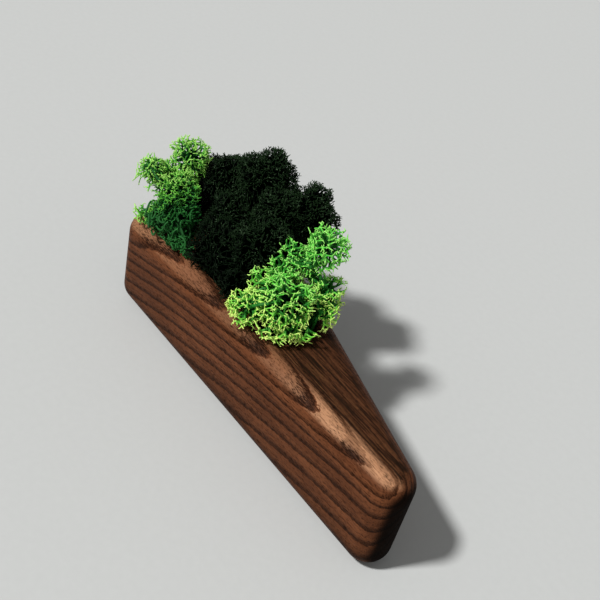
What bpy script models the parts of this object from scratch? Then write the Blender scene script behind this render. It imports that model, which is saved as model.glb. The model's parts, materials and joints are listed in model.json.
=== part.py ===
"""Moss garden: bunches of preserved reindeer moss standing in the pocket of a solid wedge-shaped
wooden block. Lengths are in metres and +Z is up. The origin is on the block's flat base."""

import math
import random
from collections import namedtuple

import bmesh
import bpy
from mathutils import Vector
from mathutils.bvhtree import BVHTree

# The block's outline has four sides: a long front along X, a short end, a long back and a left end.
FRONT_LENGTH = 0.1544
END_WIDTH = 0.0188
BACK_LENGTH = 0.1780
END_ANGLE = math.radians(62.2)
BACK_ANGLE = math.radians(16.24)
BLOCK_HEIGHT = 0.040
CORNER_RADIUS = 0.0080
EDGE_RADIUS = 0.0074
CORNER_STEPS = 5
EDGE_STEPS = 5
SMOOTH_ANGLE = math.radians(40)

# The pocket is cut down from the top, under the moss.
RIM_WIDTH = 0.0085
POCKET_END_X = 0.018
POCKET_DEPTH = 0.016
POCKET_CORNER_RADIUS = 0.005
POCKET_LIP_RADIUS = 0.0010
POCKET_FLOOR_RADIUS = 0.0020
POCKET_STEPS = 2

# Every bunch keeps half of GAP to the upright plane between it and its neighbour.
GAP = 0.0004
SEAT_GAP = 0.0003
BEND_TRIES = 12
GRAIN = 0.00002

# A head is an egg of sprigs round a smaller core, and its lower half reaches down to the rim. A head
# whose centre stands more than HIGH_SHARE radii over the rim is a ball on a neck instead.
# The shares are of the head's radius, or of the core's where a core is made smaller.
CORE_SHARE = 0.66
CORE_MARGIN = 0.0010
COLUMN_SHARE = 0.90
NECK_SHARE = 0.62
FOOT_SHARE = 0.70
FOOT_SIDES = 8
BELLY = 0.55
HIGH_SHARE = 2.5
THINNEST = 0.001

# A sprig is a stem sunk in the core that forks into three pointed twigs. Its stem and its twigs
# vary in length and lean, and it turns up by LIFT. None stands inside a neighbouring head.
ROOT_SHARE = 0.60
STEM_SHARE = 0.40
STEM_RANGE = (0.5, 1.2)
TWIG_RANGE = (0.75, 1.15)
LEAN_RANGE = (0.7, 1.3)
FORK_PEAK = 0.5
LIFT = 0.35
PAST_WALL_SHARE = 0.15
HIDDEN_SHARE = 0.85
REDRAWS = 4
SEED = 41

Finish = namedtuple("Finish", "colour roughness")
Style = namedtuple("Style", "finish spacing stem spread")
Head = namedtuple("Head", "x y rise radius")

OILED_ASH = Finish((0.095, 0.045, 0.026), 0.50)
LEAF_GREEN = Finish((0.22, 0.48, 0.05), 0.85)
FERN_GREEN = Finish((0.10, 0.36, 0.06), 0.85)
BOTTLE_GREEN = Finish((0.008, 0.022, 0.010), 0.90)

# The light moss is open and branched, the dark moss is close and short.
LACY_LIGHT = Style(LEAF_GREEN, 0.0070, 0.00105, 0.95)
LACY_FERN = Style(FERN_GREEN, 0.0074, 0.00105, 0.95)
CLOSE_DARK = Style(BOTTLE_GREEN, 0.0080, 0.00125, 1.05)

# The heads of each bunch: centre in plan, rise of the centre over the block's top, and radius.
# The first head of a bunch has its foot in the pocket, and a later one grows from the nearest.
BUNCHES = {
    "light_moss_left": (LACY_FERN, (
        Head(-0.0485, -0.0235, 0.0070, 0.0095),
        Head(-0.0515, -0.0210, 0.0150, 0.0085),
        Head(-0.0588, -0.0122, 0.0230, 0.0077),
        Head(-0.0595, -0.0278, 0.0210, 0.0049),
        Head(-0.0385, -0.0262, 0.0030, 0.0040),
        Head(-0.0345, -0.0258, 0.0022, 0.0032),
        Head(-0.0588, -0.0208, 0.0192, 0.0044),
        Head(-0.0590, -0.0255, 0.0044, 0.0038),
    )),
    "dark_moss_left": (CLOSE_DARK, (
        Head(-0.0470, 0.0010, 0.0148, 0.0120),
        Head(-0.0500, 0.0090, 0.0110, 0.0090),
        Head(-0.0620, 0.0020, 0.0080, 0.0090),
        Head(-0.0640, 0.0115, 0.0060, 0.0085),
        Head(-0.0700, 0.0110, 0.0040, 0.0070),
    )),
    "dark_moss_middle": (CLOSE_DARK, (
        Head(-0.0250, -0.0165, 0.0050, 0.0138),
        Head(-0.0325, -0.0095, 0.0100, 0.0120),
        Head(-0.0100, -0.0225, 0.0040, 0.0070),
        Head(-0.0120, -0.0100, 0.0140, 0.0120),
        Head(-0.0180, -0.0005, 0.0210, 0.0105),
        Head(-0.0325, 0.0025, 0.0270, 0.0110),
        Head(-0.0145, 0.0088, 0.0220, 0.0110),
    )),
    "light_moss_front": (LACY_LIGHT, (
        Head(0.0090, -0.0175, 0.0110, 0.0110),
        Head(0.0022, -0.0262, 0.0054, 0.0072),
        Head(0.0150, -0.0190, 0.0045, 0.0060),
        Head(0.0010, -0.0135, 0.0165, 0.0060),
    )),
    "light_moss_right": (LACY_LIGHT, (
        Head(0.0120, -0.0022, 0.0108, 0.0070),
        Head(0.0175, -0.0050, 0.0068, 0.0036),
        Head(0.0000, -0.0090, 0.0060, 0.0050),
        Head(0.0042, -0.0062, 0.0178, 0.0042),
        Head(0.0067, -0.0017, 0.0262, 0.0080),
        Head(-0.0015, -0.0085, 0.0208, 0.0048),
    )),
}


def clear_scene():
    """Remove the objects that a new file starts with."""
    for thing in list(bpy.data.objects):
        bpy.data.objects.remove(thing, do_unlink=True)


def add_object(name, bm):
    """Turn a bmesh into a named object in the scene."""
    mesh = bpy.data.meshes.new(name)
    bm.to_mesh(mesh)
    bm.free()
    thing = bpy.data.objects.new(name, mesh)
    bpy.context.scene.collection.objects.link(thing)
    return thing


def paint(thing, finish):
    """Give an object its own material."""
    material = bpy.data.materials.new(thing.name + "_finish")
    material.use_nodes = True
    shader = material.node_tree.nodes["Principled BSDF"]
    shader.inputs["Base Color"].default_value = (*finish.colour, 1.0)
    shader.inputs["Roughness"].default_value = finish.roughness
    shader.inputs["Metallic"].default_value = 0.0
    thing.data.materials.clear()
    thing.data.materials.append(material)


def block_corners():
    """The block's four corners in plan, before rounding, centred on the overall length and width."""
    front_left = Vector((0.0, 0.0))
    front_right = Vector((FRONT_LENGTH, 0.0))
    end = END_WIDTH * Vector((-math.cos(END_ANGLE), math.sin(END_ANGLE)))
    back = BACK_LENGTH * Vector((-math.cos(BACK_ANGLE), math.sin(BACK_ANGLE)))
    back_right = front_right + end
    back_left = back_right + back
    centre = Vector(((back_left.x + front_right.x) / 2, (back_left.y + front_left.y) / 2))
    return [corner - centre for corner in (front_left, front_right, back_right, back_left)]


def side_normals(corners):
    """The outward direction of each side; side i runs from corner i to the next one."""
    normals = []
    for here, after in zip(corners, corners[1:] + corners[:1]):
        run = (after - here).normalized()
        normals.append(Vector((run.y, -run.x)))
    return normals


def inset(corners, distances):
    """Move side i of an outline inwards by distance i, and meet the sides again."""
    normals = side_normals(corners)
    moved = []
    for i in range(len(corners)):
        a, b = normals[i - 1], normals[i]
        reach_a = a.dot(corners[i]) - distances[i - 1]
        reach_b = b.dot(corners[i]) - distances[i]
        cross = a.x * b.y - a.y * b.x
        moved.append(Vector(((reach_a * b.y - reach_b * a.y) / cross,
                             (reach_b * a.x - reach_a * b.x) / cross)))
    return moved


def rounded_ring(centres, radius, height):
    """A closed ring of points: an arc of the radius round each centre, joined by straight sides."""
    normals = side_normals(centres)
    ring = []
    for i, centre in enumerate(centres):
        start = math.atan2(normals[i - 1].y, normals[i - 1].x)
        turn = (math.atan2(normals[i].y, normals[i].x) - start) % math.tau
        for step in range(CORNER_STEPS + 1):
            angle = start + turn * step / CORNER_STEPS
            out = radius * Vector((math.cos(angle), math.sin(angle)))
            ring.append(Vector((*(centre + out), height)))
    return ring


def pocket_corners():
    """The pocket's four corners in plan: a rim all round it, and its right end square to the front."""
    front_left, front_right, back_right, back_left = inset(block_corners(), [RIM_WIDTH] * 4)
    slope = (back_right - back_left) / (back_right.x - back_left.x)
    front_end = Vector((POCKET_END_X, front_left.y))
    back_end = back_left + slope * (POCKET_END_X - back_left.x)
    return [front_left, front_end, back_end, back_left]


def pocket_ring(offset, height):
    """The pocket's outline, widened by the offset, at a height."""
    centres = inset(pocket_corners(), [POCKET_CORNER_RADIUS] * 4)
    return rounded_ring(centres, POCKET_CORNER_RADIUS + offset, height)


def quarter_turn(radius, steps):
    """Points of a quarter circle as (rise, run), from (0, 0) where it leaves its first line."""
    for step in range(steps + 1):
        angle = math.radians(90) * step / steps
        yield radius * math.sin(angle), radius * (1 - math.cos(angle))


def block_rings():
    """The block's rings, from the base over the rounded edges and down into the pocket."""
    centres = inset(block_corners(), [CORNER_RADIUS] * 4)
    floor = BLOCK_HEIGHT - POCKET_DEPTH
    edge = list(quarter_turn(EDGE_RADIUS, EDGE_STEPS))
    rings = [rounded_ring(centres, CORNER_RADIUS - run, EDGE_RADIUS - rise) for rise, run in reversed(edge)]
    top = BLOCK_HEIGHT - EDGE_RADIUS
    rings += [rounded_ring(centres, CORNER_RADIUS - run, top + rise) for rise, run in edge]
    for rise, run in quarter_turn(POCKET_LIP_RADIUS, POCKET_STEPS):
        rings.append(pocket_ring(POCKET_LIP_RADIUS - rise, BLOCK_HEIGHT - run))
    for rise, run in quarter_turn(POCKET_FLOOR_RADIUS, POCKET_STEPS):
        rings.append(pocket_ring(-run, floor + POCKET_FLOOR_RADIUS - rise))
    return rings


def make_block():
    """The block: its rings joined by faces, and closed by the base and the pocket's floor."""
    rings = block_rings()
    bm = bmesh.new()
    loops = [[bm.verts.new(point) for point in ring] for ring in rings]
    for low, high in zip(loops, loops[1:]):
        for i in range(len(low)):
            j = (i + 1) % len(low)
            bm.faces.new((low[i], low[j], high[j], high[i]))
    bm.faces.new(list(reversed(loops[0])))
    bm.faces.new(loops[-1])
    block = add_object("wooden_block", bm)
    block.data.shade_smooth()
    block.data.set_sharp_from_angle(angle=SMOOTH_ANGLE)
    paint(block, OILED_ASH)


def centre_of(head):
    """A head's centre in space."""
    return Vector((head.x, head.y, BLOCK_HEIGHT + head.rise))


def walls_around(head, bunch):
    """Upright planes (direction, reach) between a head and every head of the other bunches."""
    here = centre_of(head)
    walls = []
    for name, (_, heads) in BUNCHES.items():
        if name == bunch:
            continue
        for other in heads:
            away = centre_of(other) - here
            away.z = 0.0
            share = head.radius / (head.radius + other.radius)
            side = away.normalized()
            walls.append((side, side.dot(here) + away.length * share - GAP / 2))
    return walls


def walls_of_pocket():
    """The pocket's sides as planes, taken at the floor, with the seat gap to the wood."""
    ring = pocket_ring(-POCKET_FLOOR_RADIUS, 0.0)
    walls = []
    for here, after in zip(ring, ring[1:] + ring[:1]):
        run = (after - here).normalized()
        side = Vector((run.y, -run.x, 0.0))
        walls.append((side, side.dot(here) - SEAT_GAP))
    return walls


def keep_clear(point, walls, lowest, margin=0.0):
    """Bend a point back behind every wall and above the lowest height, with a margin."""
    point = point.copy()
    for _ in range(BEND_TRIES):
        for side, reach in walls:
            past = side.dot(point) - (reach - margin)
            if past > 0:
                point -= side * past
    point.z = max(point.z, lowest + margin)
    return point


def drop_of(head):
    """How far a head reaches below its centre: to the rim, or a radius where it is a ball."""
    if head.rise > HIGH_SHARE * head.radius:
        return head.radius
    return max(head.radius, head.rise)


def egg_point(head, direction, share=1.0):
    """The point of a head's egg in a direction: a ball above, drawn down full to the rim below."""
    reach = head.radius * share * direction
    if direction.z < 0 and drop_of(head) > head.radius:
        fullness = max(math.hypot(direction.x, direction.y), THINNEST) ** (BELLY - 1)
        reach.x *= fullness
        reach.y *= fullness
        reach.z *= drop_of(head) / head.radius
    return centre_of(head) + reach


def egg_points(head, share):
    """Points all over a head's egg."""
    bm = bmesh.new()
    bmesh.ops.create_icosphere(bm, subdivisions=1, radius=1.0)
    points = [egg_point(head, vert.co, share) for vert in bm.verts]
    bm.free()
    return points


def foot_points(head, floor):
    """A ring of points where a head's stems stand on the pocket's floor."""
    points = []
    for k in range(FOOT_SIDES):
        angle = math.tau * k / FOOT_SIDES
        out = FOOT_SHARE * head.radius * Vector((math.cos(angle), math.sin(angle), 0.0))
        points.append(Vector((head.x, head.y, floor)) + out)
    return points


def add_hull(name, points, rng):
    """A closed convex body round some points, each moved by a grain so that no four are level."""
    bm = bmesh.new()
    for point in points:
        grain = Vector([rng.uniform(-GRAIN, GRAIN) for _ in range(3)])
        bm.verts.new(point + grain)
    result = bmesh.ops.convex_hull(bm, input=bm.verts)
    loose = {item for key in ("geom_interior", "geom_unused") for item in result[key]
             if isinstance(item, bmesh.types.BMVert)}
    bmesh.ops.delete(bm, geom=list(loose), context="VERTS")
    bmesh.ops.recalc_face_normals(bm, faces=bm.faces)
    return add_object(name, bm)


def make_cores(name, heads, rng):
    """The closed middles of a bunch: an egg for each head, its foot in the pocket, and the necks."""
    pocket = walls_of_pocket()
    rim = BLOCK_HEIGHT + SEAT_GAP
    floor = BLOCK_HEIGHT - POCKET_DEPTH + SEAT_GAP
    cores = []
    for i, head in enumerate(heads):
        centre = centre_of(head)
        walls = walls_around(head, name)
        egg = [keep_clear(point, walls, rim, CORE_MARGIN) for point in egg_points(head, CORE_SHARE)]
        cores.append(add_hull(name, egg, rng))
        rooted = all(side.dot(centre) < reach for side, reach in pocket)
        if rooted or i == 0:
            column = egg_points(head, COLUMN_SHARE * CORE_SHARE) + foot_points(head, floor)
            column = [keep_clear(point, walls + pocket, floor, 2 * GRAIN) for point in column]
            cores.append(add_hull(name, column, rng))
        if i > 0:
            nearest = min(heads[:i], key=lambda other: (centre_of(other) - centre).length)
            walls += walls_around(nearest, name)
            neck = egg_points(head, NECK_SHARE * CORE_SHARE)
            neck += egg_points(nearest, NECK_SHARE * CORE_SHARE)
            neck = [keep_clear(point, walls, rim, CORE_MARGIN) for point in neck]
            cores.append(add_hull(name, neck, rng))
    return cores


def ring_round(centre, axis, radius, turn):
    """Three points round an axis."""
    across = axis.orthogonal().normalized()
    beside = axis.cross(across).normalized()
    return [centre + radius * (math.cos(turn + k * math.tau / 3) * across
                               + math.sin(turn + k * math.tau / 3) * beside) for k in range(3)]


def crosses_itself(bm):
    """True where two faces that share no corner cross."""
    tree = BVHTree.FromBMesh(bm)
    bm.faces.ensure_lookup_table()
    for a, b in tree.overlap(tree):
        if a < b and not set(bm.faces[a].verts) & set(bm.faces[b].verts):
            return True
    return False


def sprig_mesh(head, direction, style, walls, rng):
    """One sprig: a three-sided stem whose top is split into three facets, each drawn out to a tip."""
    rim = BLOCK_HEIGHT + SEAT_GAP
    axis = (direction + Vector((0, 0, LIFT))).normalized()
    start = egg_point(head, direction, CORE_SHARE * ROOT_SHARE)
    length = head.radius * (1.0 - CORE_SHARE)
    stem_length = length * STEM_SHARE * rng.uniform(*STEM_RANGE)
    fork = egg_point(head, direction, CORE_SHARE) + axis * stem_length
    root = keep_clear(start, walls, rim, style.stem)
    fork = keep_clear(fork, walls, rim, style.stem)
    run = (fork - root).normalized()
    turn = rng.uniform(0, math.tau)
    bm = bmesh.new()
    low = [bm.verts.new(point) for point in ring_round(root, run, style.stem, turn)]
    high = [bm.verts.new(point) for point in ring_round(fork, run, style.stem, turn)]
    bm.faces.new(list(reversed(low)))
    top = bm.verts.new(fork + run * style.stem * FORK_PEAK)
    for k in range(3):
        j = (k + 1) % 3
        bm.faces.new((low[k], low[j], high[j], high[k]))
        out = ((high[k].co + high[j].co) / 2 - fork).normalized()
        heading = (run + out * style.spread * rng.uniform(*LEAN_RANGE)).normalized()
        tip = fork + heading * (length * rng.uniform(*TWIG_RANGE) + style.stem)
        apex = bm.verts.new(keep_clear(tip, walls, rim))
        for a, b in ((high[k], high[j]), (high[j], top), (top, high[k])):
            bm.faces.new((a, b, apex))
    bmesh.ops.triangulate(bm, faces=bm.faces)
    bmesh.ops.recalc_face_normals(bm, faces=bm.faces)
    return bm


def add_sprig(name, head, direction, style, walls, rng):
    """A sprig, drawn again where bending it clear has folded it into itself."""
    for _ in range(REDRAWS):
        bm = sprig_mesh(head, direction, style, walls, rng)
        if not crosses_itself(bm):
            return [add_object(name, bm)]
        bm.free()
    return []


def even_directions(count, rng):
    """Directions spread evenly over a ball, turned at random."""
    golden = math.pi * (3 - math.sqrt(5))
    start = rng.uniform(0, math.tau)
    for i in range(count):
        z = 1 - 2 * (i + 0.5) / count
        flat = math.sqrt(1 - z * z)
        angle = start + golden * i
        yield Vector((flat * math.cos(angle), flat * math.sin(angle), z))


def make_sprigs(name, style, heads, rng):
    """The sprigs of a bunch, on every side of its heads that faces the open air."""
    sprigs = []
    for head in heads:
        walls = walls_around(head, name)
        others = [other for other in heads if other is not head]
        area = 2 * math.pi * head.radius * (head.radius + drop_of(head))
        for direction in even_directions(round(area / style.spacing ** 2), rng):
            tip = egg_point(head, direction)
            if tip.z < BLOCK_HEIGHT + SEAT_GAP:
                continue
            if any(side.dot(tip) - reach > PAST_WALL_SHARE * head.radius for side, reach in walls):
                continue
            if any((tip - centre_of(other)).length < HIDDEN_SHARE * other.radius for other in others):
                continue
            sprigs += add_sprig(name, head, direction, style, walls, rng)
    return sprigs


def keep_largest_body(mesh):
    """Drop the loose scraps and the sealed hollows that a union can leave."""
    bm = bmesh.new()
    bm.from_mesh(mesh)
    seen = set()
    bodies = []
    for start in bm.verts:
        if start in seen:
            continue
        body = [start]
        seen.add(start)
        for vert in body:
            for edge in vert.link_edges:
                after = edge.other_vert(vert)
                if after not in seen:
                    seen.add(after)
                    body.append(after)
        bodies.append(body)
    bodies.sort(key=len)
    scraps = [vert for body in bodies[:-1] for vert in body]
    bmesh.ops.delete(bm, geom=scraps, context="VERTS")
    bmesh.ops.triangulate(bm, faces=bm.faces)
    bm.to_mesh(mesh)
    bm.free()


def fuse(name, pieces):
    """Join the pieces of a bunch in one closed body."""
    body = pieces[0]
    group = bpy.data.collections.new(name + "_pieces")
    for piece in pieces[1:]:
        group.objects.link(piece)
    join = body.modifiers.new("join", "BOOLEAN")
    join.operation = "UNION"
    join.operand_type = "COLLECTION"
    join.collection = group
    join.solver = "MANIFOLD"
    mesh = bpy.data.meshes.new_from_object(body.evaluated_get(bpy.context.evaluated_depsgraph_get()))
    for piece in pieces:
        bpy.data.objects.remove(piece, do_unlink=True)
    bpy.data.collections.remove(group)
    keep_largest_body(mesh)
    whole = bpy.data.objects.new(name, mesh)
    bpy.context.scene.collection.objects.link(whole)
    return whole


def make_bunch(name, style, heads, rng):
    """One bunch of moss: its cores and sprigs, fused."""
    pieces = make_cores(name, heads, rng) + make_sprigs(name, style, heads, rng)
    bunch = fuse(name, pieces)
    paint(bunch, style.finish)


def main():
    clear_scene()
    make_block()
    for index, (name, (style, heads)) in enumerate(BUNCHES.items()):
        make_bunch(name, style, heads, random.Random(SEED + index))


main()
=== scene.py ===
# %% [markdown]
# # Moss garden in a wooden block
# The packed part gives every piece its place and size. Here the block gets its oiled wood, and each
# plain bunch of moss makes way for a finer one that branches as reindeer moss does. Loading the
# part comes first, so that everything that follows can be set against it.

# %% Load the part
import json
import math

import bmesh
import bpy
import numpy as np
from mathutils import Matrix, Quaternion, Vector

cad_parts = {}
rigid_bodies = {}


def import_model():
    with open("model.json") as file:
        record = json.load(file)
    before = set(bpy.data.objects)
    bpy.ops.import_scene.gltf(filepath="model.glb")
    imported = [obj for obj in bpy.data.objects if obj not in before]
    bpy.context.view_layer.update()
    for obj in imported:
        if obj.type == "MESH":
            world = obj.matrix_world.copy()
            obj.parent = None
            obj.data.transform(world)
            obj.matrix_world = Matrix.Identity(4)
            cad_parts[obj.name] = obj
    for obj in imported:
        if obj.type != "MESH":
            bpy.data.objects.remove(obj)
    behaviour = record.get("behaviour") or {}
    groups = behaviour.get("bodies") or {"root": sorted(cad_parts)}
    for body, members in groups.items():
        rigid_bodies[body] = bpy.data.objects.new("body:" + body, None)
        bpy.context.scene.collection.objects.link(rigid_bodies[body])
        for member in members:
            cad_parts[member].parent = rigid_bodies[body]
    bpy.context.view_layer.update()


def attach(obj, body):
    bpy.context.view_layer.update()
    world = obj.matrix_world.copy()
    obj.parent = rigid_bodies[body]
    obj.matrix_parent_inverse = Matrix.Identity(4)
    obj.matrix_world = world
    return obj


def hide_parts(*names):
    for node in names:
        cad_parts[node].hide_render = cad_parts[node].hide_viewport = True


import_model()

# %% [markdown]
# ## The block
# The block is a wedge of solid wood with every edge rounded over, and a pocket cut down into it for
# the moss. Its outline is four straight sides. Moving the sides inwards gives the centres of the
# corner arcs, and one closed ring of points per height, joined by faces, gives the whole solid. The
# steps round the edges are about three times as fine as the plain part's, so the wood shows no
# flats.

# %% The block's outline
BLOCK_TOP = 0.040
FRONT_LENGTH, END_WIDTH, BACK_LENGTH = 0.1544, 0.0188, 0.1780
END_ANGLE, BACK_ANGLE = math.radians(62.2), math.radians(16.24)
RIM_WIDTH, POCKET_END_X = 0.0085, 0.018


def side_normals(corners):
    """The outward direction of each side of an outline."""
    runs = [(after - here).normalized() for here, after in zip(corners, corners[1:] + corners[:1])]
    return [Vector((run.y, -run.x)) for run in runs]


def inset(corners, distance):
    """An outline moved inwards by a distance."""
    normals = side_normals(corners)
    moved = []
    for index, corner in enumerate(corners):
        before, after = normals[index - 1], normals[index]
        moved.append(corner - distance * (before + after) / (1 + before.dot(after)))
    return moved


end_corner = END_WIDTH * Vector((-math.cos(END_ANGLE), math.sin(END_ANGLE))) + Vector((FRONT_LENGTH, 0))
back_corner = end_corner + BACK_LENGTH * Vector((-math.cos(BACK_ANGLE), math.sin(BACK_ANGLE)))
corners = [Vector((0, 0)), Vector((FRONT_LENGTH, 0)), end_corner, back_corner]
middle = Vector(((back_corner.x + FRONT_LENGTH) / 2, back_corner.y / 2))
corners = [corner - middle for corner in corners]
front_left, front_right, back_right, back_left = inset(corners, RIM_WIDTH)
back_run = (back_right - back_left) / (back_right.x - back_left.x)
pocket = [front_left, Vector((POCKET_END_X, front_left.y)),
          back_left + back_run * (POCKET_END_X - back_left.x), back_left]
print("corners in plan, in mm:", [(round(c.x * 1000, 1), round(c.y * 1000, 1)) for c in corners])

# %% The block's rings of points
CORNER_RADIUS, EDGE_RADIUS = 0.0080, 0.0074
CORNER_STEPS = EDGE_STEPS = 16
POCKET_DEPTH, POCKET_STEPS = 0.016, 4
POCKET_CORNER_RADIUS, POCKET_LIP_RADIUS, POCKET_FLOOR_RADIUS = 0.005, 0.0010, 0.0020


def rounded_ring(centres, radius, height):
    """A closed ring of points: an arc round each centre, joined by straight sides."""
    normals = side_normals(centres)
    ring = []
    for index, centre in enumerate(centres):
        start = math.atan2(normals[index - 1].y, normals[index - 1].x)
        turn = (math.atan2(normals[index].y, normals[index].x) - start) % math.tau
        for step in range(CORNER_STEPS + 1):
            angle = start + turn * step / CORNER_STEPS
            ring.append((centre.x + radius * math.cos(angle), centre.y + radius * math.sin(angle), height))
    return ring


def quarter_turn(radius, steps):
    """Points of a quarter circle as (rise, run), from where it leaves its first line."""
    angles = [math.radians(90) * step / steps for step in range(steps + 1)]
    return [(radius * math.sin(angle), radius * (1 - math.cos(angle))) for angle in angles]


outline = inset(corners, CORNER_RADIUS)
hollow = inset(pocket, POCKET_CORNER_RADIUS)
pocket_floor = BLOCK_TOP - POCKET_DEPTH
edge = quarter_turn(EDGE_RADIUS, EDGE_STEPS)
rings = [rounded_ring(outline, CORNER_RADIUS - run, EDGE_RADIUS - rise) for rise, run in reversed(edge)]
rings += [rounded_ring(outline, CORNER_RADIUS - run, BLOCK_TOP - EDGE_RADIUS + rise) for rise, run in edge]
rings += [rounded_ring(hollow, POCKET_CORNER_RADIUS + POCKET_LIP_RADIUS - rise, BLOCK_TOP - run)
          for rise, run in quarter_turn(POCKET_LIP_RADIUS, POCKET_STEPS)]
rings += [rounded_ring(hollow, POCKET_CORNER_RADIUS - run, pocket_floor + POCKET_FLOOR_RADIUS - rise)
          for rise, run in quarter_turn(POCKET_FLOOR_RADIUS, POCKET_STEPS)]
print("rings:", len(rings), "of", len(rings[0]), "points")

# %% The block's faces
SHARP_ANGLE = math.radians(40)


def ring_faces(rows, per_ring):
    """The four-cornered faces between rings of points that are numbered one ring after another."""
    quads = []
    for row in range(rows):
        for k in range(per_ring):
            a, b = row * per_ring + k, row * per_ring + (k + 1) % per_ring
            quads.append((a, b, b + per_ring, a + per_ring))
    return quads


def add_object(name, data):
    """Put a mesh, a light or a camera in the scene as an object."""
    made = bpy.data.objects.new(name, data)
    bpy.context.scene.collection.objects.link(made)
    return made


per_ring = len(rings[0])
last_ring = (len(rings) - 1) * per_ring
faces = [list(reversed(range(per_ring)))] + ring_faces(len(rings) - 1, per_ring)
faces.append(list(range(last_ring, last_ring + per_ring)))
block_mesh = bpy.data.meshes.new("fine_block")
block_mesh.from_pydata([point for ring in rings for point in ring], [], faces)
block_mesh.shade_smooth()
block_mesh.set_sharp_from_angle(angle=SHARP_ANGLE)
block = add_object("fine_block", block_mesh)
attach(block, "root")
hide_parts("wooden_block")
print("block:", len(block_mesh.polygons), "faces")

# %% [markdown]
# ## The heads of moss
# A bunch of reindeer moss is a few rounded heads on shared stems. Each head is given by its centre
# in plan, how far the centre stands over the block's top, and its radius. The numbers are those of
# the plain bunches, so the finer moss fills the same room. Only the sprig over the left corner is
# smaller and lower. Round the edges some loose sprays leave the heads and hang over the wood. Each
# of them is given by the two points that it grows from and towards.

# %% Heads
HEADS = {
    "light_moss_left": (
        (-0.0485, -0.0235, 0.0070, 0.0095), (-0.0515, -0.0210, 0.0150, 0.0085),
        (-0.0588, -0.0122, 0.0230, 0.0077), (-0.0595, -0.0278, 0.0210, 0.0049),
        (-0.0385, -0.0262, 0.0030, 0.0040), (-0.0345, -0.0258, 0.0022, 0.0032),
        (-0.0588, -0.0208, 0.0192, 0.0044), (-0.0582, -0.0262, 0.0022, 0.0027),
    ),
    "dark_moss_left": (
        (-0.0470, 0.0010, 0.0148, 0.0120), (-0.0500, 0.0090, 0.0110, 0.0090),
        (-0.0620, 0.0020, 0.0080, 0.0090), (-0.0640, 0.0115, 0.0060, 0.0085),
        (-0.0700, 0.0110, 0.0040, 0.0070),
    ),
    "dark_moss_middle": (
        (-0.0250, -0.0165, 0.0050, 0.0138), (-0.0325, -0.0095, 0.0100, 0.0120),
        (-0.0100, -0.0225, 0.0040, 0.0070), (-0.0120, -0.0100, 0.0140, 0.0120),
        (-0.0180, -0.0005, 0.0210, 0.0105), (-0.0325, 0.0025, 0.0270, 0.0110),
        (-0.0145, 0.0088, 0.0220, 0.0110),
    ),
    "light_moss_front": (
        (0.0090, -0.0175, 0.0110, 0.0110), (0.0022, -0.0262, 0.0054, 0.0072),
        (0.0150, -0.0190, 0.0045, 0.0060), (0.0010, -0.0135, 0.0165, 0.0060),
    ),
    "light_moss_right": (
        (0.0120, -0.0022, 0.0108, 0.0070), (0.0175, -0.0050, 0.0068, 0.0036),
        (0.0000, -0.0090, 0.0060, 0.0050), (0.0042, -0.0062, 0.0178, 0.0042),
        (0.0067, -0.0017, 0.0262, 0.0080), (-0.0015, -0.0085, 0.0208, 0.0048),
    ),
}


def centre_of(head):
    """A head's centre in space."""
    return np.array((head[0], head[1], BLOCK_TOP + head[2]))


def all_heads_but(bunch):
    """The heads of every other bunch."""
    return [head for name, heads in HEADS.items() if name != bunch for head in heads]


first_head = HEADS["light_moss_front"][0]
print("heads:", {name: len(heads) for name, heads in HEADS.items()})

# %% Loose sprays
SPRAYS = {
    "light_moss_left": (
        ((-0.0565, -0.0245, 0.0560), (-0.0647, -0.0296, 0.0612)),
        ((-0.0565, -0.0245, 0.0560), (-0.0608, -0.0308, 0.0575)),
        ((-0.0582, -0.0275, 0.0440), (-0.0597, -0.0336, 0.0413)),
        ((-0.0582, -0.0275, 0.0440), (-0.0563, -0.0322, 0.0414)),
        ((-0.0582, -0.0275, 0.0440), (-0.0628, -0.0303, 0.0422)),
        ((-0.0545, -0.0262, 0.0440), (-0.0543, -0.0313, 0.0416)),
    ),
    "light_moss_front": (
        ((0.0024, -0.0212, 0.0540), (-0.0050, -0.0219, 0.0555)),
        ((0.0024, -0.0212, 0.0540), (-0.0030, -0.0240, 0.0530)),
        ((0.0119, -0.0240, 0.0460), (0.0146, -0.0298, 0.0422)),
        ((0.0143, -0.0212, 0.0460), (0.0193, -0.0250, 0.0420)),
        ((0.0160, -0.0170, 0.0460), (0.0212, -0.0196, 0.0420)),
        ((0.0170, -0.0146, 0.0465), (0.0238, -0.0145, 0.0422)),
        ((0.0010, -0.0266, 0.0470), (-0.0007, -0.0322, 0.0440)),
        ((0.0026, -0.0276, 0.0460), (0.0070, -0.0318, 0.0420)),
        ((0.0110, -0.0190, 0.0480), (0.0160, -0.0275, 0.0490)),
    ),
    "light_moss_right": (
        ((0.0145, -0.0067, 0.0480), (0.0205, -0.0022, 0.0465)),
        ((0.0156, -0.0064, 0.0475), (0.0210, -0.0045, 0.0440)),
    ),
}
print("loose sprays:", {name: len(sprays) for name, sprays in SPRAYS.items()})

# %% [markdown]
# ## The egg
# The moss fills an egg round each centre: a ball above, with its lower half drawn down to the rim
# of the block. A head that stands high on its stems stays a ball. One function turns a direction
# and a share of the way out into a point, for whole arrays at once, so that thousands of twigs
# take no time. Shallow lobes keep the outline from looking turned on a lathe.

# %% Directions
# Dice that are thrown with the same number give the same random numbers every time.
dice = np.random.default_rng


def unit(vectors):
    """The same vectors, one long."""
    return vectors / np.maximum(np.linalg.norm(vectors, axis=-1, keepdims=True), 1e-12)


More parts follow.
